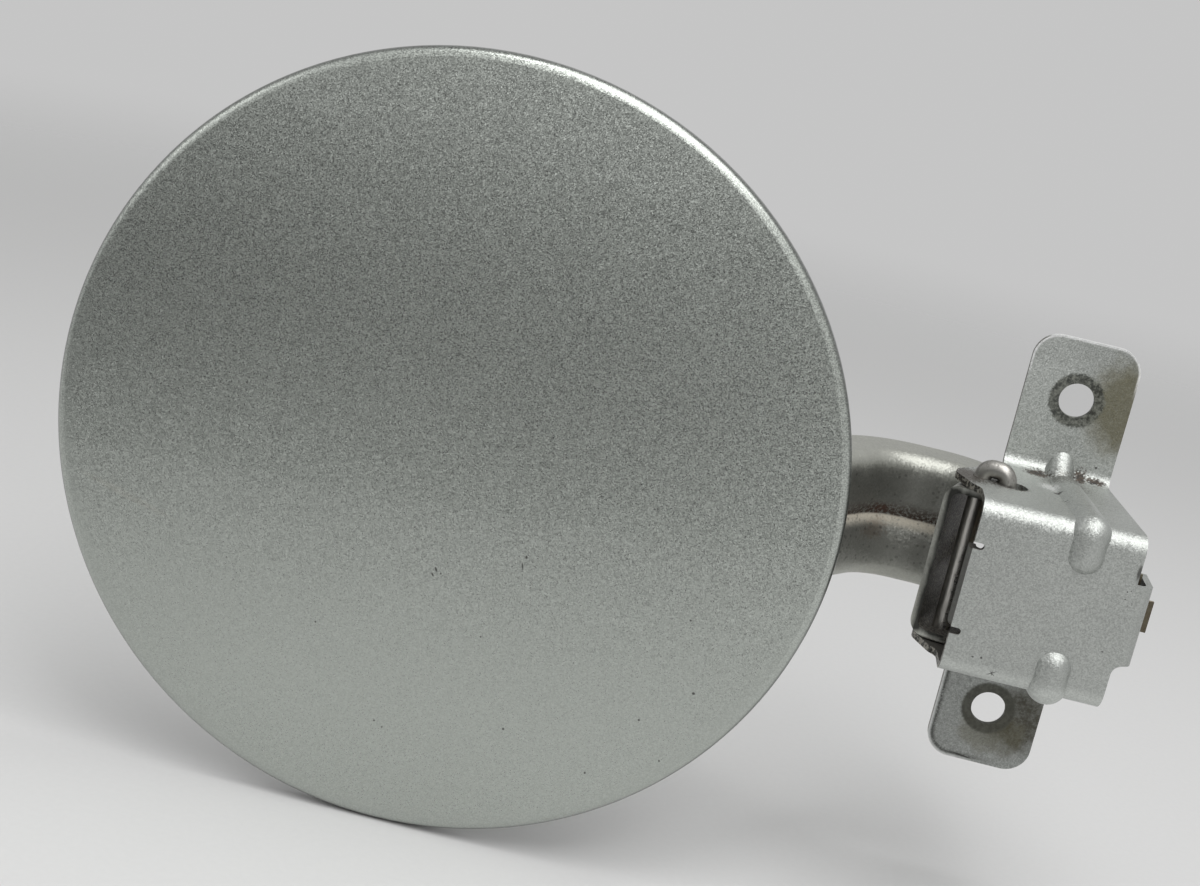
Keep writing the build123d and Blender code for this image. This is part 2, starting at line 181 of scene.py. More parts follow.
# %% Finishes
class Finish(Nodes):
    """One material, and the nodes that make it."""

    def __init__(self, name):
        self.material = bpy.data.materials.new(name)
        self.material.use_nodes = True
        super().__init__(self.material.node_tree)
        self.shader = self.tree.nodes["Principled BSDF"]
        self.place = self.node("TexCoord", out="Object")
        self.x, self.y, self.z = (part * (1 / MM) for part in self.split(self.place))
        self.face_x, self.face_y, self.face_z = self.split(self.node("TexCoord", out="Normal"))

    def noise(self, size, detail=2.0, roughness=0.5, stretch=(1, 1, 1)):
        """Cloudy values whose blotches are about size millimetres across."""
        place = self.vector("MULTIPLY", self.place, stretch)
        return self.node(
            "TexNoise",
            inputs={"Vector": place, "Scale": 1 / (size * MM), "Detail": detail, "Roughness": roughness},
        )

    def flakes(self, size, tilt):
        """A normal that leans another way in each flake, and a number from 0 to 1 for each flake."""
        colour = self.node("TexVoronoi", inputs={"Vector": self.place, "Scale": 1 / (size * MM)}, out="Color")
        lean = self.vector("SUBTRACT", colour, (0.5, 0.5, 0.5))
        lean = self.node("VectorMath", {"operation": "SCALE"}, {0: lean, "Scale": tilt})
        facing = self.vector("ADD", self.node("NewGeometry", out="Normal"), lean)
        facing = self.node("VectorMath", {"operation": "NORMALIZE"}, {0: facing})
        return facing, self.node("SeparateColor", inputs={0: colour})

    def specks(self, spacing, size, share):
        """Small round dots, in about that share of the cells of a loose grid."""
        cells = {"Vector": self.place, "Scale": 1 / (spacing * MM)}
        distance = self.node("TexVoronoi", inputs=cells, out="Distance")
        chance = self.node("SeparateColor", inputs={0: self.node("TexVoronoi", inputs=cells, out="Color")})
        dot = self.ramp(distance, size / spacing, 0.6 * size / spacing)
        return dot * self.ramp(chance, 1 - share, 1.02 - share)

    def away(self, x, z):
        """Distance in millimetres from a line along Y."""
        return ((self.x - x) ** 2 + (self.z - z) ** 2) ** 0.5

    def blot(self, point, radii, turn=0.0, axis="Y", ragged=None, fray=1.6):
        """1 inside an oval round a point, fading to 0 at its edge, which a ragged noise frays."""
        offset = self.vector("SUBTRACT", self.place, Vector(point) * MM)
        if turn:
            angle = {"Vector": offset, "Angle": radians(turn)}
            offset = self.node("VectorRotate", {"rotation_type": axis + "_AXIS"}, angle)
        offset = self.vector("DIVIDE", offset, Vector(radii) * MM)
        reach = self.node("VectorMath", {"operation": "LENGTH"}, {0: offset}, out="Value")
        if ragged:
            reach = reach + (0.5 - ragged) * fray
        return self.ramp(reach, 1.0, 0.45)

    def wear(self, **sockets):
        """Sets the shader's sockets by name, and gives back the material."""
        for key, value in sockets.items():
            self.put(self.shader.inputs[key.replace("_", " ")], value)
        return self.material

    def tell(self, step):
        print(step, "brings", self.material.name, "to", len(self.tree.nodes), "nodes")


def grey(level):
    return (level, level, level, 1.0)


def dress(material, *nodes):
    for node in nodes:
        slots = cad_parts[node].data.materials
        slots.clear()
        slots.append(material)
    print(material.name, "on", nodes, "with", len(material.node_tree.nodes), "nodes")


print("a finish adds", [name for name in vars(Finish) if not name.startswith("_")])

# %% [markdown]
# ## Lid paint
# Silver paint is clear lacquer over aluminium flakes that lie almost flat. Each flake leans a little, so it
# mirrors another part of the room, and that is the grain one sees. A bump would make the lacquer rough too,
# so the flakes lean the normal of the metal under it, and the coat keeps its gloss. The paint is thinned
# towards the top, where its flakes differ more. Where the rim turns in to the hem it is painted darker, as
# painted shade on that turned side, which also narrows the rim's highlight.

# %% Lid paint
LID_CENTRE = (-123.8, 4.0)
LID_ROLL = (75.5, 78.5)
LID_HEM_SHADE = (79.15, 79.75)
LID_THINNED = (-45.0, 45.0)
LID_FLAKE = 0.18
SILVER = (0.945, 1.0, 0.93)

paint = Finish("lid_paint")
from_middle = paint.away(*LID_CENTRE)
rolled = paint.ramp(from_middle, *LID_ROLL)
hem_shade = paint.ramp(from_middle, *LID_HEM_SHADE)
facing, spark = paint.flakes(LID_FLAKE, 0.24 - rolled * 0.12)
cloud = paint.noise(70, detail=1.0)
thinned = paint.ramp(paint.z, *LID_THINNED)
level = 0.42 + (spark - 0.5) * (0.11 + thinned * 0.32) + cloud * 0.04
# Painted shade: the colour is darkened on the outer edge of the rim, where it turns in to the hem.
colour = paint.tint(level * (1 - hem_shade * 0.55), SILVER)
paint.tell("silver of %s mm flakes" % LID_FLAKE)

# %% [markdown]
# ## Lid marks
# Grit chips the lacquer, and road film settles in the chips. A chip that can be seen is an oval with a place
# and half widths in millimetres and a turn in degrees. The finest ones have no place of their own, so the
# dots of a loose grid stand for them.

# %% Lid marks
GRIME_AND_SHADE = (0.022, 0.020, 0.017, 1.0)
DUST_AND_SHEEN = (0.52, 0.48, 0.40, 1.0)
LID_CHIPS = [
    ((-120.8, -49.4, -18.7), (0.30, 2, 0.75), 30),
    ((-121.3, -49.4, -19.9), (0.25, 2, 0.60), 35),
    ((-119.7, -49.4, -19.3), (0.22, 2, 0.30), 0),
    ((-103.6, -49.4, -11.7), (0.34, 2, 0.50), 10),
    ((-104.0, -49.4, -13.7), (0.22, 2, 0.95), 15),
    ((-142.8, -49.2, -35.9), (0.25, 2, 0.25), 0),
    ((-109.2, -49.2, -30.4), (0.24, 2, 0.24), 0),
    ((-69.0, -48.6, -16.6), (0.28, 2, 0.28), 0),
    ((-203.2, -46.4, -10.0), (1.20, 2, 0.50), 60),
    ((-127.1, -49.0, -53.9), (0.28, 2, 0.28), 0),
    ((-125.3, -49.0, -54.9), (0.24, 2, 0.24), 0),
    ((-100.8, -49.0, -48.8), (0.36, 2, 0.36), 0),
    ((-74.4, -48.8, -39.9), (0.34, 2, 0.34), 0),
    ((-68.5, -48.6, -47.6), (0.26, 2, 0.42), 20),
    ((-65.0, -48.6, -31.6), (0.45, 2, 0.42), 0),
    ((-82.6, -48.6, -54.0), (0.30, 2, 0.40), 0),
]
WIPED_STREAK = ((-186, -49, -19.4), (14, 4, 1.0), -14)

chips = union([paint.specks(17, 0.17, 0.40)] + [paint.blot(*chip) for chip in LID_CHIPS])
streak = paint.blot(*WIPED_STREAK)
colour = paint.mix(chips * 0.9, colour, GRIME_AND_SHADE)
colour = paint.mix(streak * 0.12, colour, DUST_AND_SHEEN)
dress(paint.wear(
    Base_Color=colour,
    Metallic=0.9 - chips * 0.9,
    Roughness=0.27 + spark * 0.06 + chips * 0.3 + rolled * 0.05,
    Normal=facing,
    Coat_Weight=0.55 - chips * 0.55,
    Coat_Roughness=0.06,
), "outer_panel")

# %% [markdown]
# ## Inner paint
# The back of the lid gets only the mist of paint that drifts round the rim, so it is duller and thinner than
# the front, and darker towards the middle. Water runs down it and leaves streaks, dirt lines the seam of the
# hem, and dust lies low down, where the dish holds what falls into it.

# %% Inner paint
INNER_FADE = (76, 30)
INNER_DUST = (20, -70)
SEAM_RADIUS = 71.0
SEAM_EDGE = (2.4, 0.9)
INNER_SILVER = (0.96, 1.0, 0.95)

paint = Finish("inner_paint")
facing, spark = paint.flakes(0.36, 0.20)
middle = paint.ramp(paint.away(*LID_CENTRE), *INNER_FADE)
film = paint.noise(14, detail=5.0, roughness=0.6)
runs = paint.noise(6.0, detail=4.0, roughness=0.6, stretch=(1, 1, 0.12))
level = 0.40 + spark * 0.07 - middle * 0.10 + film * 0.08 + (runs - 0.5) * 0.12
colour = paint.tint(level, INNER_SILVER)
grain = paint.noise(0.9, detail=3.0, roughness=0.7)
seam = paint.ramp(abs(paint.away(*LID_CENTRE) - SEAM_RADIUS) + grain * 1.6, *SEAM_EDGE)
colour = paint.mix(seam * 0.7, colour, GRIME_AND_SHADE)
dust = paint.ramp(film, 0.5, 0.75) * paint.ramp(paint.z, *INNER_DUST)
colour = paint.mix(dust * 0.5, colour, DUST_AND_SHEEN)
stain = paint.specks(9, 0.35, 0.3) | paint.ramp(paint.noise(3.2, detail=4.0), 0.70, 0.80)
colour = paint.mix(stain * 0.6, colour, GRIME_AND_SHADE)
dress(paint.wear(
    Base_Color=colour,
    Metallic=0.75 - dust * 0.4,
    Roughness=0.50 + dust * 0.25,
    Normal=facing,
), "inner_panel", "latch_striker")

# %% [markdown]
# ## Arm paint
# The arm reaches through the filler pocket into wet and dirt. Its paint is dark, for a film of dirt and also
# as painted shade, since the arm lies in shade between the lid and the bracket. Its folds are left lighter,
# rubbed clean and out of that painted shade, and the lower half and the bottom fold carry a painted highlight
# for the light they catch from the floor. At the pin the arm is a channel, whose cut rim is paler than the
# rest of its lip, which is painted darker towards the channel as painted shade, so the depth of a point below
# the pin is worked out along the channel's lean.

# %% Arm paint
MIDDLE_Z = 0.7
PIN_X, PIN_Y = -17.3, -19.6
WEB_LEAN = radians(18.0)
WEB_COSINE, WEB_SINE = cos(WEB_LEAN), sin(WEB_LEAN)
WEB_FACES = (4.0, 5.3)
FLANGE_FACES = (15.1, 16.5)
FOLD_EDGE = (10.6, 14.2)
LIP_Y, LIP_X = (-19.0, -22.5), (-30, -27)
SILL_HIGHLIGHT_EDGE = (-11.4, -13.4)
ARM_SILVER = (0.99, 1.0, 0.91)

paint = Finish("arm_paint")
height = paint.z - MIDDLE_Z
facing, spark = paint.flakes(0.34, 0.22)
film = paint.noise(5.0, detail=5.0, roughness=0.6)
grain = paint.noise(0.7, detail=3.0, roughness=0.7)
fold = paint.ramp(abs(height) + film * 2.5, *FOLD_EDGE)
lip = paint.ramp(paint.y, *LIP_Y) * paint.ramp(paint.x, *LIP_X)
clean_and_lit = fold | lip
streaks = paint.noise(2.4, detail=3.0, roughness=0.6, stretch=(1, 1, 0.2))
depth = (paint.y - PIN_Y) * WEB_SINE - (paint.x - PIN_X) * WEB_COSINE
rim = paint.ramp(depth, *WEB_FACES) | paint.ramp(abs(height), *FLANGE_FACES)
# Painted shade: the low base level stands for the arm's shade as well as its dirt film; folds and lower half
# are painted lighter.
level = 0.155 + film * 0.07 + clean_and_lit * 0.16 + spark * 0.05 + paint.ramp(height, 0, -6) * 0.03
# Painted highlight along the bottom fold.
level = level + paint.ramp(height + film, *SILL_HIGHLIGHT_EDGE) * 0.10
# Painted shade: besides its streaks, the lip darkens away from its rim, towards the channel.
lip_streaks_and_shade = 1 + lip * ((streaks - 0.55) * 1.8 + (rim - 1.0) * 0.8)
colour = paint.tint(level * (lip_streaks_and_shade | 0.12), ARM_SILVER)
paint.tell("paint and film")

# %% [markdown]
# ## Arm dirt
# Dirt collects in the crease that runs along the middle of the arm, and pale dust lies on the ledge just
# under it; the pale band there is also a painted highlight, for the light that the upward-facing ledge
# catches.
# Both break up into grains, so a fine noise is put through a steep ramp. One spot has rusted, and
# a brown stain has seeped from it.

# %% Arm dirt
RUST = (0.040, 0.020, 0.012, 1.0)
RED_RUST = (0.066, 0.027, 0.016, 1.0)
SEEPED_RUST = (0.125, 0.080, 0.048, 1.0)
CREASE_TOP, CREASE_FOOT = (4.6, 0.6), (-0.5, 0.1)
LEDGE_FOOT, LEDGE_TOP = (-3.2, -0.8), (0.1, -0.4)

behind = 1 - lip
crease = paint.ramp(height, *CREASE_TOP) * paint.ramp(height, *CREASE_FOOT)
crease = crease * paint.ramp(grain, 0.36, 0.56) * behind
ledge_dust_and_sheen = paint.ramp(height, *LEDGE_FOOT) * paint.ramp(height, *LEDGE_TOP)
ledge_dust_and_sheen = ledge_dust_and_sheen * paint.ramp(grain, 0.25, 0.50) * behind
rusted = paint.blot((-33.7, -8, 2.0), (3.2, 20, 2.0), ragged=grain)
seep = paint.blot((-34.3, -8, -2.6), (4.0, 20, 3.6), ragged=grain)
# Painted highlight as well as dust: the ledge under the crease is painted pale.
colour = paint.mix(ledge_dust_and_sheen * 0.9, colour, DUST_AND_SHEEN)
colour = paint.mix(crease * 0.9, colour, RUST)
colour = paint.mix(rusted * 0.70, colour, RED_RUST)
colour = paint.mix(seep * 0.40, colour, SEEPED_RUST)
paint.tell("dirt")

# %% [markdown]
# ## Arm grease
# Grease for the pin fills the channel and has gone grey with grit. Its dark colour is also painted shade, for
# the hollow of the channel and for the outer faces of the ears, between the arm and the bracket. In the
# hollow only the faces that look into the channel carry it, and the way a face looks is tested against the
# channel's lean for the web and against the middle of the arm for the two flanges.

# %% Arm grease
GREASE_EDGE = (11.0, 8.0)
FLANGE_TOP = (16.4, 16.0)
FLANGE_BACK = (16.3, 16.6)
FLANGE_INSIDE = 15
DARK_GREASE_AND_SHADE = (0.048, 0.045, 0.040, 1.0)
PALE_GREASE_AND_SHADE = (0.175, 0.163, 0.140, 1.0)

inward = paint.ramp(paint.face_x * WEB_COSINE - paint.face_y * WEB_SINE, 0.15, 0.5)
inward = inward | paint.ramp(paint.face_z * height * (1 / FLANGE_INSIDE), -0.3, -0.6)
trough = inward * paint.ramp(depth + film * 3.0, *GREASE_EDGE) * paint.ramp(abs(height), *FLANGE_TOP)
grease = trough | paint.ramp(abs(height), *FLANGE_BACK) * 0.8
pits = paint.specks(1.3, 0.42, 0.5)
grit = paint.noise(0.55, detail=2.0, roughness=0.8)
sludge_and_shade = paint.mix(paint.ramp(grit, 0.42, 0.64), DARK_GREASE_AND_SHADE, PALE_GREASE_AND_SHADE)
# Painted shade as well as grease: the channel and the ears' outer faces are painted dark.
colour = paint.mix(grease * 0.95, colour, sludge_and_shade)
colour = paint.mix(pits * 0.35 * (1 - clean_and_lit), colour, GRIME_AND_SHADE)
paint.tell("grease")

# %% [markdown]
# ## Arm welds
# Two rows of spot welds hold the arm's foot to the inner panel. Each is a shallow round dent with a brown
# bloom. It is too shallow to change the outline, so a Bump node is enough for it.

# %% Arm welds
WELD_PLACES = [(x, z) for x in (-96.0, -88.0, -80.0, -72.0) for z in (-9.4, 10.8)]
WELD_EDGE = (2.3, 1.7)
WELD_BLOOM = (0.20, 0.17, 0.14, 1.0)
DENT_DEPTH = 0.3 * MM

weld = union([paint.ramp(paint.away(*place), *WELD_EDGE) for place in WELD_PLACES])
dent = {"Strength": 0.6, "Distance": DENT_DEPTH, "Height": grit * grease - weld, "Normal": facing}
colour = paint.mix(weld * 0.5, colour, WELD_BLOOM)
dress(paint.wear(
    Base_Color=colour,
    Metallic=0.75 - (grease | crease | ledge_dust_and_sheen) * 0.72,
    Roughness=0.40 + film * 0.12 + (crease | ledge_dust_and_sheen) * 0.3 + trough * 0.15,
    Specular_IOR_Level=0.25,
    Normal=paint.node("Bump", inputs=dent),
), "hinge_arm")

# %% [markdown]
# ## Bracket paint
# The bracket is sprayed on the car with the body, thickly enough to dry with a fine pebbled skin. Light is
# painted into its colour: a painted highlight along the lower bend, for the floor that it mirrors, and on the
# left of the upper tab; painted shade on the faces that look up and on the lower tab, which lies in the shade
# of the bracket's hat. The paint is also a little darker towards the top of the upper tab.

# %% Bracket paint
LOWER_TAB_SHADE_EDGE = (-19.0, -22.0)
TAB_EDGE, TAB_DEPTH = (19.0, 19.6), (-2.6, -1.8)
LIT_BEND_EDGE, LIT_BEND_DEPTH = (-14.0, -17.0), (-33.0, -36.0)
UPPER_TAB_LIT_SIDE = (2.0, -7.0)
TAB_TOP = (40.0, 47.0)
BRACKET_SILVER = (0.965, 1.0, 0.955)

paint = Finish("bracket_paint")
height = paint.z - MIDDLE_Z
facing, spark = paint.flakes(0.24, 0.30)
pebble = paint.noise(0.45, detail=2.0, roughness=0.5)
patch = paint.noise(11, detail=3.0)
grain = paint.noise(0.55, detail=3.0, roughness=0.7)
shaded_lower_tab = paint.ramp(height, *LOWER_TAB_SHADE_EDGE)
tab = paint.ramp(abs(height), *TAB_EDGE) * paint.ramp(paint.y, *TAB_DEPTH)
lit_bend = paint.ramp(height, *LIT_BEND_EDGE) * paint.ramp(paint.y, *LIT_BEND_DEPTH)
topside_shade = paint.ramp(paint.face_z, 0.6, 0.95)
# Painted light: lighter along the lower bend, darker on upward faces and on the shaded lower tab.
level = 0.365 + spark * 0.12 + (patch - 0.5) * 0.06 - shaded_lower_tab * 0.10 + lit_bend * 0.12 - topside_shade * 0.02
# Painted light on the left of the upper tab.
level = level + tab * paint.ramp(paint.x, *UPPER_TAB_LIT_SIDE) * 0.05 * (1 - shaded_lower_tab)
level = level - paint.ramp(paint.z, *TAB_TOP) * 0.05
level = level + tab * shaded_lower_tab * (grain - 0.5) * 0.24
colour = paint.tint(level, BRACKET_SILVER)
paint.tell("paint")

# %% [markdown]
# ## Bolt rings and stains
# The heads of the two bolts have pressed dark rings into the paint. Water that stood under them has stained
# the tabs beside the holes, olive on the upper tab and sooty on the lower one.

# %% Bolt rings and stains
BOLT_Z = 35.9
UPPER_RING_EDGE, LOWER_RING_EDGE = (7.1, 6.3), (6.6, 5.8)
OLIVE = (0.115, 0.105, 0.058, 1.0)
SOOT = (0.062, 0.058, 0.042, 1.0)
RING_DARK, RING_PALE = (0.022, 0.024, 0.019, 1.0), (0.17, 0.175, 0.15, 1.0)
RING_OLIVE = (0.080, 0.079, 0.062, 1.0)

upper_ring = paint.ramp(paint.away(0, BOLT_Z) + grain * 1.6, *UPPER_RING_EDGE)
lower_ring = paint.ramp(paint.away(0, -BOLT_Z) + grain * 0.6, *LOWER_RING_EDGE)
ring = (upper_ring | lower_ring) * tab
smear = paint.noise(2.6, detail=3.0)
mottle = paint.ramp(paint.noise(0.9, detail=3.0, roughness=0.65), 0.36, 0.66)
stain = paint.blot((10.8, -1.4, 36.3), (11.5, 3, 13.5), ragged=smear, fray=0.4) * tab
soot = paint.blot((7.6, -1.4, -36.6), (9.5, 3, 10.5), ragged=smear, fray=0.4) * tab
smudge = paint.blot((2.0, -1.4, -41.0), (10.0, 3, 6.5), ragged=smear, fray=0.8) * tab
colour = paint.mix(stain * (0.70 + grain * 0.3), colour, OLIVE)
colour = paint.mix(soot * (0.68 + mottle * 0.28), colour, SOOT)
colour = paint.mix(smudge * (0.25 + grain * 0.4), colour, OLIVE)
pressed = paint.mix(mottle, RING_DARK, RING_PALE)
pressed = paint.mix(shaded_lower_tab * 0.75, pressed, RING_OLIVE)
colour = paint.mix(ring * 0.92, colour, pressed)
paint.tell("rings and stains")

# %% [markdown]
# ## Rust and scratches
# Rust breaks out in the folds by the gussets, where the paint is thin. Mud lies on the flange round the
# hook of the pin, and the paint beside it is rubbed bright. Every scratch has a place, half widths, a turn
# and the axis of that turn, so that a table of numbers says where each one is.

# %% Rust and scratches
MUD = (0.060, 0.047, 0.035, 1.0)
RUST_DARK, RUST_BROWN = (0.008, 0.006, 0.004, 1.0), (0.055, 0.034, 0.019, 1.0)
RUST_SPOTS = [
    ((-4.3, -4.8, 19.5), (3.6, 2.9, 1.8)),
    ((5.0, -2.8, 20.4), (1.9, 2.4, 2.6)),
    ((8.4, -2.6, 20.0), (3.2, 1.2, 1.0)),
    ((-3.6, -2.8, -18.2), (3.0, 1.8, 1.6)),
]
MUD_SPOTS = [
    ((-20.5, -21.0, 19.2), (5.5, 8.0, 2.5)),
    ((-12.5, -21.5, 19.2), (5.5, 4.2, 2.5)),
]
SCRATCHES = [
    ((-1.5, -19.1, 19.2), (1.2, 0.90, 4.0), 8, "Z"),
    ((-0.6, -25.2, 19.2), (1.1, 0.16, 1.5), 35, "Z"),
    ((0.4, -26.6, 19.2), (1.2, 0.14, 1.5), 30, "Z"),
    ((-7.8, -39.6, -15.3), (1.5, 1.5, 0.13), 35, "Y"),
    ((-7.6, -39.6, -15.4), (1.1, 1.5, 0.11), -40, "Y"),
    ((-7.7, -39.6, -15.3), (0.13, 1.5, 0.8), 5, "Y"),
    ((-12.3, -39.6, -12.8), (0.35, 1.5, 0.22), 0, "Y"),
    ((-10.6, -39.6, -12.6), (0.30, 1.5, 0.30), 0, "Y"),
    ((-3.0, -1.4, -48.2), (3.2, 1.5, 0.22), -6, "Y"),
    ((7.9, -1.4, 22.7), (0.35, 1.5, 0.35), 0, "Y"),
    ((14.6, -39.0, 12.2), (0.7, 1.5, 2.6), 0, "Y"),
]

rust = union([paint.blot(*spot, ragged=grain, fray=1.8) for spot in RUST_SPOTS])
mud = union([paint.blot(*spot, ragged=grain, fray=2.0) for spot in MUD_SPOTS])
rubbed = paint.blot((-2.5, -14.5, 19.2), (2.8, 3.4, 2.0), ragged=grain, fray=2.4)
grubby = paint.blot((1.6, -9.0, 20.0), (6.5, 6.0, 3.0), ragged=grain, fray=3.0)
splashed = paint.specks(2.6, 0.15, 0.30) * paint.ramp(height, 0.0, -10.0)
flecked = paint.specks(0.8, 0.20, 0.5) * paint.blot((14.0, -39.3, 7.8), (2.2, 3.0, 3.6))
scratch = union([paint.specks(7.0, 0.20, 0.30), splashed, flecked] + [paint.blot(*row) for row in SCRATCHES])
colour = paint.mix(mud * 0.85, colour, MUD)
colour = paint.mix(rubbed * 0.6, colour, grey(0.85))
colour = paint.mix(grubby * 0.5, colour, MUD)
colour = paint.mix(rust * 0.95, colour, paint.mix(mottle, RUST_DARK, RUST_BROWN))
colour = paint.mix(scratch * 0.85, colour, GRIME_AND_SHADE)
paint.tell("rust and scratches")

# %% [markdown]
# ## Highlighted and scuffed rims of the tabs
# A painted highlight runs round the rims of the tabs, for the light that their rolled edges catch: it follows
# the top of the upper tab and the left of the lower one. On the lower tab a scuffed band of dirt follows
# inside it. A tab is a rectangle with round corners, so the distance in from its rim comes from one formula:
# how far a point is from the rectangle between the corners' centres, taken from the corner radius.

# %% Highlighted and scuffed rims of the tabs
TAB_HALF_X, TAB_HALF_Z, TAB_CORNER = 11.5, 49.0, 5.5
RIM_HIGHLIGHT_EDGE, RIM_HIGHLIGHT_TOP, RIM_HIGHLIGHT_LEFT = (0.6, 0.2), (38.0, 44.0), (2.0, -6.0)
SCUFF_OUTER, SCUFF_INNER, SCUFF_LEFT = (0.5, 0.8), (2.6, 1.7), (6.0, -4.0)

past_x = (abs(paint.x) - (TAB_HALF_X - TAB_CORNER)) | 0.0
past_z = (abs(paint.z) - (TAB_HALF_Z - TAB_CORNER)) | 0.0
inset = TAB_CORNER - (past_x ** 2 + past_z ** 2) ** 0.5
rim_highlight = paint.ramp(inset, *RIM_HIGHLIGHT_EDGE) * tab
rim_highlight = rim_highlight * (paint.ramp(paint.z, *RIM_HIGHLIGHT_TOP) | shaded_lower_tab * paint.ramp(paint.x, *RIM_HIGHLIGHT_LEFT) * 0.6)
scuff = paint.ramp(inset, *SCUFF_OUTER) * paint.ramp(inset + grain * 1.6, *SCUFF_INNER) * tab * shaded_lower_tab
scuff = scuff * paint.ramp(paint.x, *SCUFF_LEFT) * paint.ramp(grain, 0.34, 0.52)
# Painted highlight along the rims of the tabs.
colour = paint.mix(rim_highlight * 0.7, colour, grey(0.95))
colour = paint.mix(scuff * 0.75, colour, GRIME_AND_SHADE)
paint.tell("worn rims")

# %% [markdown]
# ## Cut edges and the painted shade inside
# A shear leaves a torn, rusty edge on the sheet. The inside of the hat, the walls of the notches and the
# faces at the bracket's mouth beside the arm are painted dark, as painted shade where those hollows lie in
# shadow. A face belongs to the inside when it looks towards the middle of the bracket, which a sum of place
# times facing tells. The skin of the paint is two sizes of pebble in one Bump node.

# %% Cut edges and the painted shade inside
EDGE_X, EDGE_HEIGHT = (8.0, 9.0), (9.4, 9.8)
HAT_HALF = 18
HAT_INSIDE = (18.4, 18.0)
NOTCH_HEIGHT, NOTCH_EDGE = 9.1, (1.3, 1.0)
NOTCH_X, NOTCH_Y = (-15.2, -15.6), (-39.5, -39.3)
MOUTH_X, MOUTH_HEIGHT = (-16.0, -16.8), (9.0, 8.6)
SHEARED_X = (-11.6, -12.6)
SHEARED_DARK, SHEARED_PALE = (0.024, 0.019, 0.015, 1.0), (0.33, 0.31, 0.27, 1.0)
DUSTY_DARK, DUSTY_PALE = (0.075, 0.068, 0.056, 1.0), (0.13, 0.12, 0.10, 1.0)
INSIDE_SHADE_PALE = (0.07, 0.062, 0.05, 1.0)
SKIN_DEPTH = 0.05 * MM

edge = paint.ramp(abs(paint.face_x), 0.35, 0.7) * paint.ramp(abs(paint.x), *EDGE_X)
edge = edge * paint.ramp(abs(height), *EDGE_HEIGHT) * paint.ramp(grain, 0.2, 0.5)
outward = (height * paint.face_z + paint.x * paint.face_x) * (1 / HAT_HALF) - paint.face_y
inside_shade = paint.ramp(outward, -0.15, -0.5) * paint.ramp(abs(height), *HAT_INSIDE)
notch_shade = paint.ramp(abs(abs(height) - NOTCH_HEIGHT), *NOTCH_EDGE)
notch_shade = notch_shade * paint.ramp(paint.x, *NOTCH_X) * paint.ramp(paint.y, *NOTCH_Y)
mouth_shade = paint.ramp(paint.face_x, -0.25, -0.5) * paint.ramp(paint.x, *MOUTH_X)
mouth_shade = mouth_shade * paint.ramp(abs(height), *MOUTH_HEIGHT)
inside_shade = inside_shade | notch_shade | mouth_shade * 0.8
fleck = paint.ramp(mottle, 0.35, 0.75)
sheared = paint.mix(fleck, SHEARED_DARK, SHEARED_PALE)
dusty = paint.mix(fleck, DUSTY_DARK, DUSTY_PALE)
colour = paint.mix(edge * 0.9, colour, paint.mix(paint.ramp(paint.x, *SHEARED_X), dusty, sheared))
# Painted shade inside the hat, in the notches and at the mouth, in the grime colour.
colour = paint.mix(inside_shade * 0.92, colour, paint.mix(grain, GRIME_AND_SHADE, INSIDE_SHADE_PALE))
pebbles = pebble + paint.noise(1.1) * 2.0
skin = {"Strength": 0.25, "Distance": SKIN_DEPTH, "Height": pebbles, "Normal": facing}
dull = rust | scratch | inside_shade | ring * 0.5 | (stain | soot) * 0.6
dress(paint.wear(
    Base_Color=colour,
    Metallic=0.85 - dull * 0.7,
    Roughness=0.43 + dull * 0.25 + pebble * 0.08,
    Normal=paint.node("Bump", inputs=skin),
), "hinge_bracket")

# %% [markdown]
# ## Pin steel
# The pin is plated rod. Drawing it through a die has left streaks along it, which a noise squeezed along Z
# gives. The plating has pitted where the pin faces the bracket. The shaft carries the streaks and is painted
# lighter than the hook, as painted light that makes up for the shade of the gap it stands in; the hook is
# darker and soiled.

# %% Pin steel
HOOK_START = (18.6, 20.0)
PITTED_X, PITTED_Z = (-17.9, -17.2), (6, 1)
PLATING = (1.0, 0.975, 0.91)

paint = Finish("pin_steel")
drawn = paint.noise(1.4, detail=4.0, stretch=(1, 1, 0.12))
grain = paint.noise(0.5, detail=3.0, roughness=0.7)
hook_part = paint.ramp(paint.z, *HOOK_START)
pitted = paint.ramp(paint.noise(1.0, detail=4.0, roughness=0.65), 0.52, 0.60)
pitted = pitted * paint.ramp(paint.x, *PITTED_X) * paint.ramp(paint.z, *PITTED_Z) * (1 - hook_part)
# Painted light: the shaft below the hook is made lighter than the hook.
level = 0.36 + paint.ramp(drawn, 0.36, 0.64) * 0.44 * (1 - hook_part) - hook_part * 0.02
soiled = paint.ramp(drawn + grain * 0.3, 0.60, 0.78) * hook_part
colour = paint.tint(level, PLATING)
colour = paint.mix(pitted * 0.92, colour, GRIME_AND_SHADE)
colour = paint.mix(soiled * 0.5, colour, GRIME_AND_SHADE)
dress(paint.wear(
    Base_Color=colour,
    Metallic=0.95 - pitted * 0.8 - soiled * 0.4,
    Roughness=0.28 + grain * 0.14 + pitted * 0.4 + soiled * 0.2,
), "hinge_pin")

# %% [markdown]
# ## Spring steel
# The spring is a strip of oiled spring steel, brown from the heat that hardened it and with a bloom of rust.
# Its tongue comes out through the anchor wall, where the weather has dulled it, and its cut edges carry a
# painted highlight.

# %% Spring steel
TONGUE_X = (18.6, 19.4)
TEMPERED = (1.0, 0.88, 0.62)

paint = Finish("spring_steel")
rolled = paint.noise(2.0, detail=4.0, stretch=(1, 1, 0.2))
bloom = paint.noise(1.1, detail=4.0, roughness=0.7)
tongue = paint.ramp(paint.x, *TONGUE_X)
cut_highlight = tongue * paint.ramp(abs(paint.face_z) | paint.face_x, 0.5, 0.9)
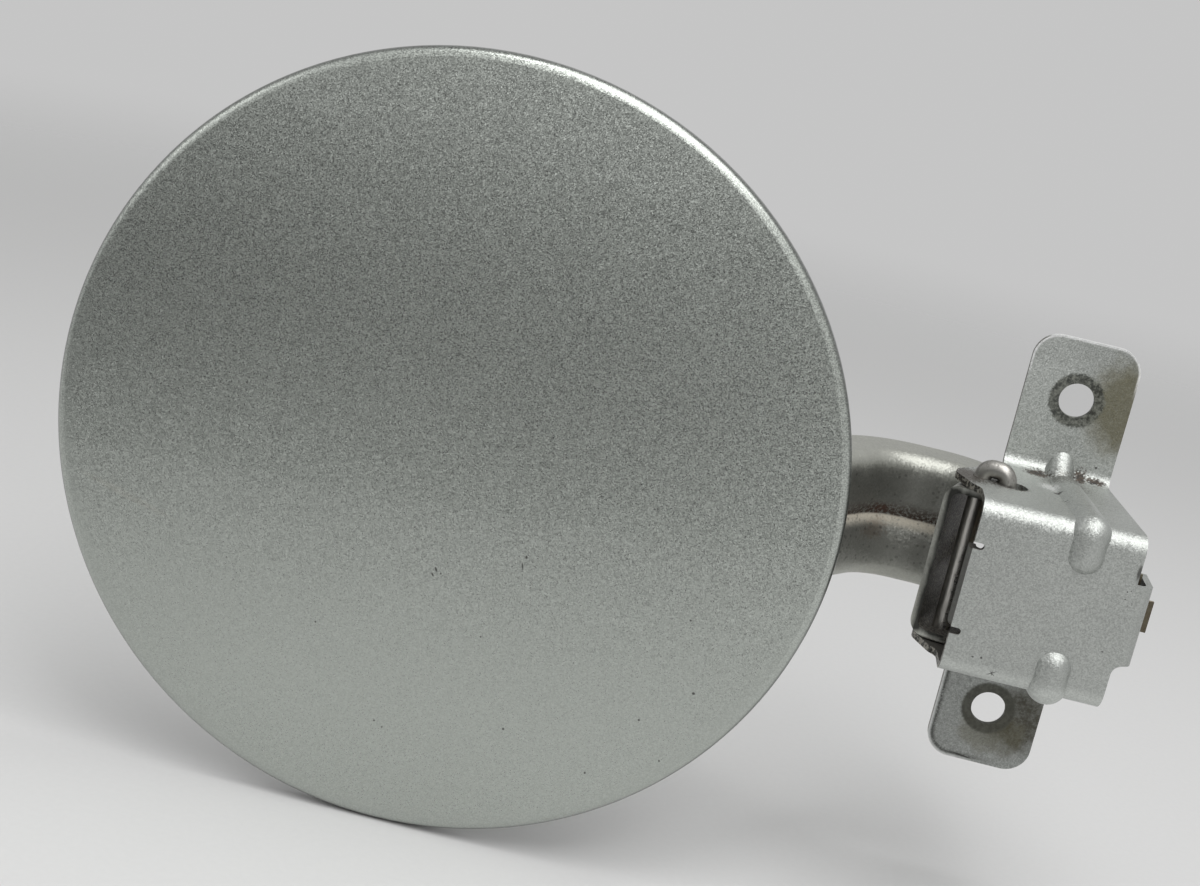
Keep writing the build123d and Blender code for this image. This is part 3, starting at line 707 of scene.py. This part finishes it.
# Painted highlight on the cut edges of the tongue.
level = (0.12 + rolled * 0.12) * (1 - tongue * (0.75 - bloom)) + cut_highlight * 0.22
colour = paint.tint(level, TEMPERED)
colour = paint.mix(paint.ramp(bloom, 0.42, 0.70) * 0.65, colour, RUST)
dress(paint.wear(Base_Color=colour, Metallic=0.8, Roughness=0.36 + bloom * 0.2), "leaf_spring")

# %% [markdown]
# ## Floor
# The floor is a sheet of pale paper that turns clear towards its rim, so it melts into the room and shows no
# edge from any side. It lies a hair's breadth under the lid, so that the two never share a plane.

# %% Floor
FLOOR_GAP = 0.1 * MM
FLOOR_CENTRE = (-0.1, 0, CAD_BOX[0].z - FLOOR_GAP)
FLOOR_SIZE = 4
FLOOR_FADE = (1.1, 0.35)
PAPER = (1.0, 1.0, 0.995)

bpy.ops.object.select_all(action="DESELECT")
bpy.ops.mesh.primitive_grid_add(x_subdivisions=8, y_subdivisions=8, size=FLOOR_SIZE, location=FLOOR_CENTRE)
floor = bpy.context.object
floor.name = "floor"
paper = Finish("floor_paper")
reach = paper.node("VectorMath", {"operation": "LENGTH"}, {0: paper.place}, out="Value")
fibre = paper.noise(1.5, detail=4.0)
floor.data.materials.append(paper.wear(
    Base_Color=paper.tint(0.60 + fibre * 0.03, PAPER),
    Roughness=0.8,
    Alpha=paper.ramp(reach, *FLOOR_FADE),
))
print("floor at", round(FLOOR_CENTRE[2] / MM, 2), "mm")

# %% [markdown]
# ## Card
# Metal shows what it mirrors, and in the picture the upper part of the lid mirrors a darker part of the
# room. A grey card in front of the lid stands for it. Only reflections see the card, and it casts no shadow.

# %% Card
CARD_PLACE = (-0.239, -0.2435, -0.012)
CARD_SCALE = (0.60, 0.130, 1)
CARD_TURN = (radians(90), 0, radians(-15))
CARD_DARK_END = (150, -120)

bpy.ops.mesh.primitive_grid_add(x_subdivisions=2, y_subdivisions=2, size=1, location=CARD_PLACE)
card = bpy.context.object
card.name = "room_card"
card.scale = CARD_SCALE
card.rotation_euler = CARD_TURN
card.visible_camera = False
card.visible_diffuse = False
card.visible_shadow = False
board = Finish("room_grey")
level = 0.27 + board.noise(200) * 0.05 - board.ramp(board.x, *CARD_DARK_END) * 0.07
card.data.materials.append(board.wear(Base_Color=board.tint(level, (1, 1, 1)), Roughness=0.9))
print("card of", CARD_SCALE[:2], "m at", CARD_PLACE)

# %% [markdown]
# ## Room
# The room is paler for the camera and for reflections than for the light that it sends, so the background
# stays bright while the hollows of the bracket stay dark. The Light Path node tells the kinds of ray apart.

# %% Room
ROOM_LIGHT = 0.40
ROOM_SEEN = 0.56

world = bpy.data.worlds.new("room")
world.use_nodes = True
room = Nodes(world.node_tree)
seen = room.node("LightPath", out="Is Camera Ray") | room.node("LightPath", out="Is Glossy Ray")
background = world.node_tree.nodes["Background"]
room.put(background.inputs["Color"], room.mix(seen, grey(ROOM_LIGHT), grey(ROOM_SEEN)))
room.put(background.inputs["Strength"], 1.0)
bpy.context.scene.world = world
print("room sends", ROOM_LIGHT, "and looks", ROOM_SEEN)

# %% [markdown]
# ## Light
# One wide lamp overhead gives the soft shadow, and a smaller one in front draws the bright lines on the
# bends. A weak one at the left lifts that side of the lid's rim. All three are large, for a soft studio look.

# %% Light
LAMP_AIM = Vector((-0.08, -0.03, 0.0))
LAMPS = [
    ("ceiling_light", (0.12, -0.22, 0.85), 0.8, 7.0),
    ("front_light", (0.10, -0.75, 0.60), 0.50, 2.2),
    ("left_light", (-0.67, -0.29, 0.31), 0.35, 0.4),
]

for name, place, size, power in LAMPS:
    bpy.ops.object.light_add(type="AREA", location=place)
    lamp = bpy.context.object
    lamp.name = name
    lamp.data.size = size
    lamp.data.energy = power
    lamp.rotation_euler = (LAMP_AIM - Vector(place)).to_track_quat("-Z", "Y").to_euler()
    print(name, "at", place, "power", power)

# %% [markdown]
# ## Sizes
# Paint adds no thickness, so the box round the finished part is the box it was loaded with.
